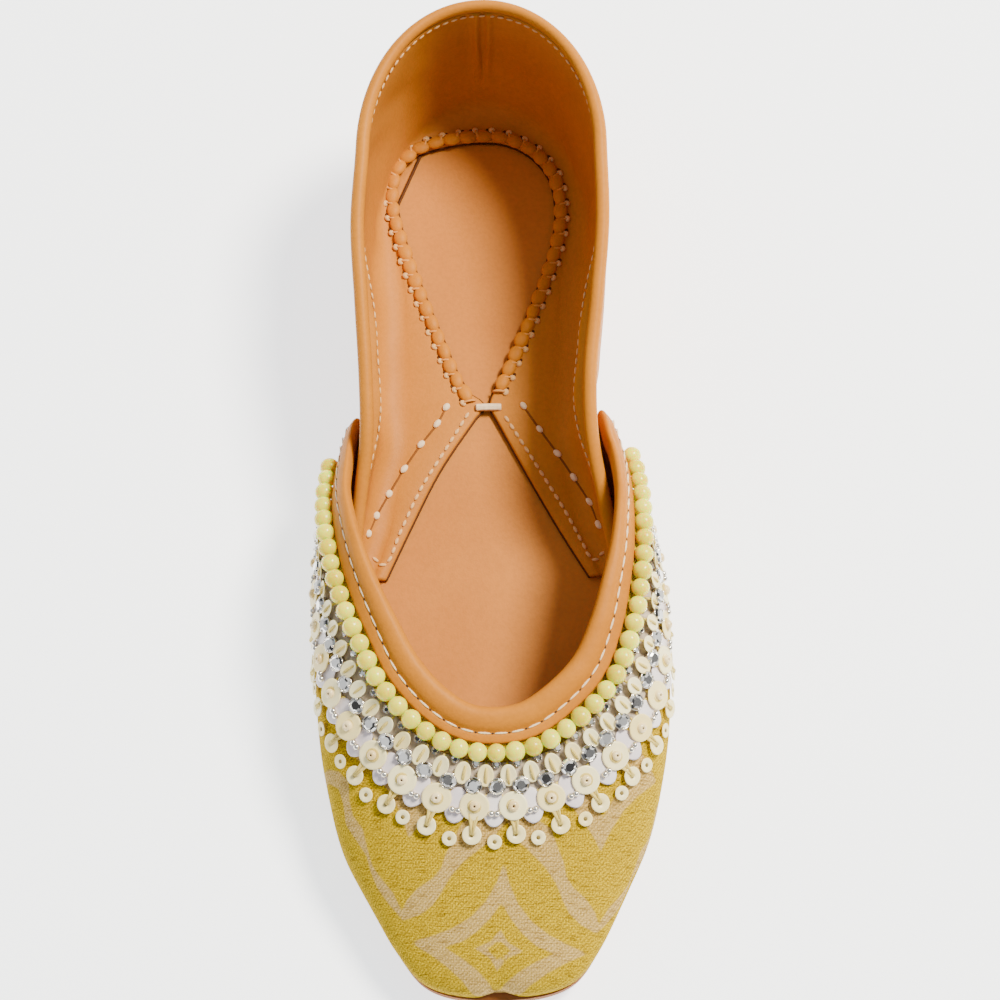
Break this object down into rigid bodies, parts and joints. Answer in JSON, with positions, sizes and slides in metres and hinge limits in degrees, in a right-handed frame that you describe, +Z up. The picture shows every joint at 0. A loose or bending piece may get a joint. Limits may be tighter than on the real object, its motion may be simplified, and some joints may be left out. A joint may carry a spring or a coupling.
{
  "type": "embroidered mojari shoe",
  "caption": "Flat slip-on leather shoe with a wide open throat, a fabric vamp, a rolled edge, a bead row and a sequin band around the opening.",
  "frame": {"origin": "on the floor under the centre of the whole shoe's bounding box", "axes": "+Z up, -Y towards the toe, +Y towards the heel, +X towards the inner side of this right shoe"},
  "size_m": [0.0938, 0.2544, 0.0627],
  "materials": {
    "sole_leather": "matte",
    "footbed_leather": "satin",
    "upper_leather": "satin",
    "printed_fabric": "woven",
    "bead": "gloss",
    "sequin": "satin",
    "thread": "matte"
  },
  "bodies": {
    "root": {"outsole": "sole_leather", "insole": "footbed_leather", "quarter": "upper_leather", "quarter_rim": "upper_leather", "flap_bar": "thread", "vamp": "printed_fabric", "throat_binding": "upper_leather", "bead_string": "bead", "applique_band": "sequin"}
  },
  "joints": []
}
